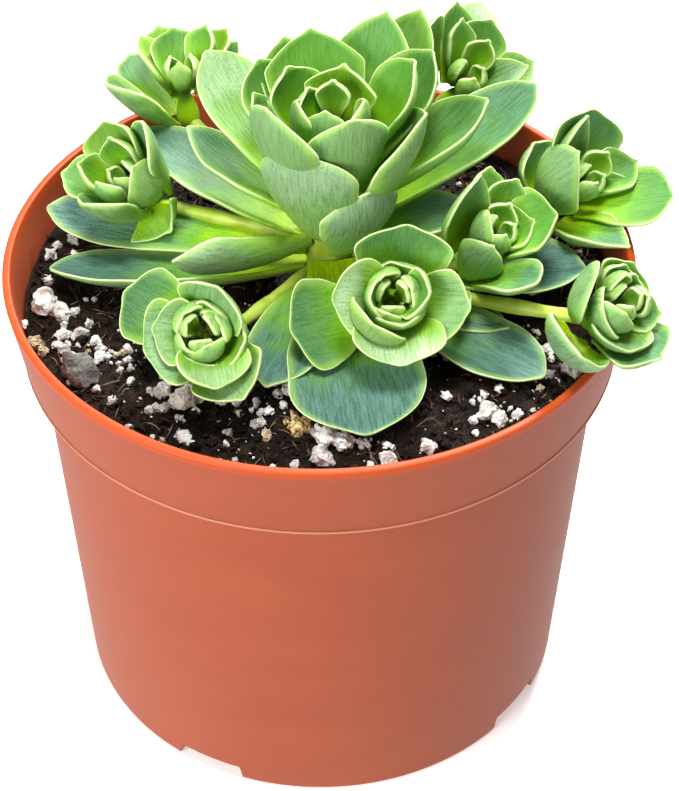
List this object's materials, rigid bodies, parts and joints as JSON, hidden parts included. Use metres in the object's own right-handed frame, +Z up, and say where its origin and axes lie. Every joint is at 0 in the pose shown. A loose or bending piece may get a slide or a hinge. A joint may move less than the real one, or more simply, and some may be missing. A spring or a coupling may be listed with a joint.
{
  "type": "potted succulent",
  "caption": "Potted aeonium: a rosette of fleshy green leaves with offset rosettes on runners, rooted in dark gritty soil in a round terracotta-coloured pot.",
  "frame": {"origin": "centre of the pot's flat base pad, on the surface that the pot stands on", "axes": "+Z up along the pot's axis, -Y towards the front of the plant, +X to its right"},
  "size_m": [0.1097, 0.104, 0.1193],
  "materials": {
    "pot": "satin moulded terracotta colour",
    "soil": "rough dark granular",
    "leaf": "satin waxy",
    "stem": "satin smooth"
  },
  "bodies": {
    "root": {"crown_heart": "leaf", "leaf_folded": "leaf", "leaf_low_back_left": "leaf", "leaf_low_front": "leaf", "leaf_low_front_left": "leaf", "leaf_low_front_right": "leaf", "leaf_low_left": "leaf", "leaf_low_left_front": "leaf", "leaf_low_right": "leaf", "leaf_low_right_back": "leaf", "leaf_mid_back_left": "leaf", "leaf_mid_front": "leaf", "leaf_mid_front_small": "leaf", "leaf_mid_left": "leaf", "leaf_mid_right": "leaf", "leaf_mid_right_upper": "leaf", "leaf_mid_slim": "leaf", "leaf_top_back": "leaf", "leaf_top_back_inner": "leaf", "leaf_top_back_left": "leaf", "leaf_top_back_right": "leaf", "leaf_top_front": "leaf", "leaf_top_front_left": "leaf", "leaf_top_front_right": "leaf", "leaf_top_left": "leaf", "leaf_top_left_inner": "leaf", "leaf_top_right": "leaf", "leaf_top_right_inner": "leaf", "leaf_top_right_outer": "leaf", "leaf_withered": "leaf", "main_stem": "stem", "offset_back_left": "leaf", "offset_back_right": "leaf", "offset_far_right": "leaf", "offset_front": "leaf", "offset_front_left": "leaf", "offset_front_right": "leaf", "offset_left": "leaf", "offset_right": "leaf", "pot": "pot", "runner_back_left": "stem", "runner_back_right": "stem", "runner_far_right": "stem", "runner_front": "stem", "runner_front_left": "stem", "runner_front_right": "stem", "runner_left": "stem", "runner_right": "stem", "soil": "soil"}
  },
  "joints": []
}
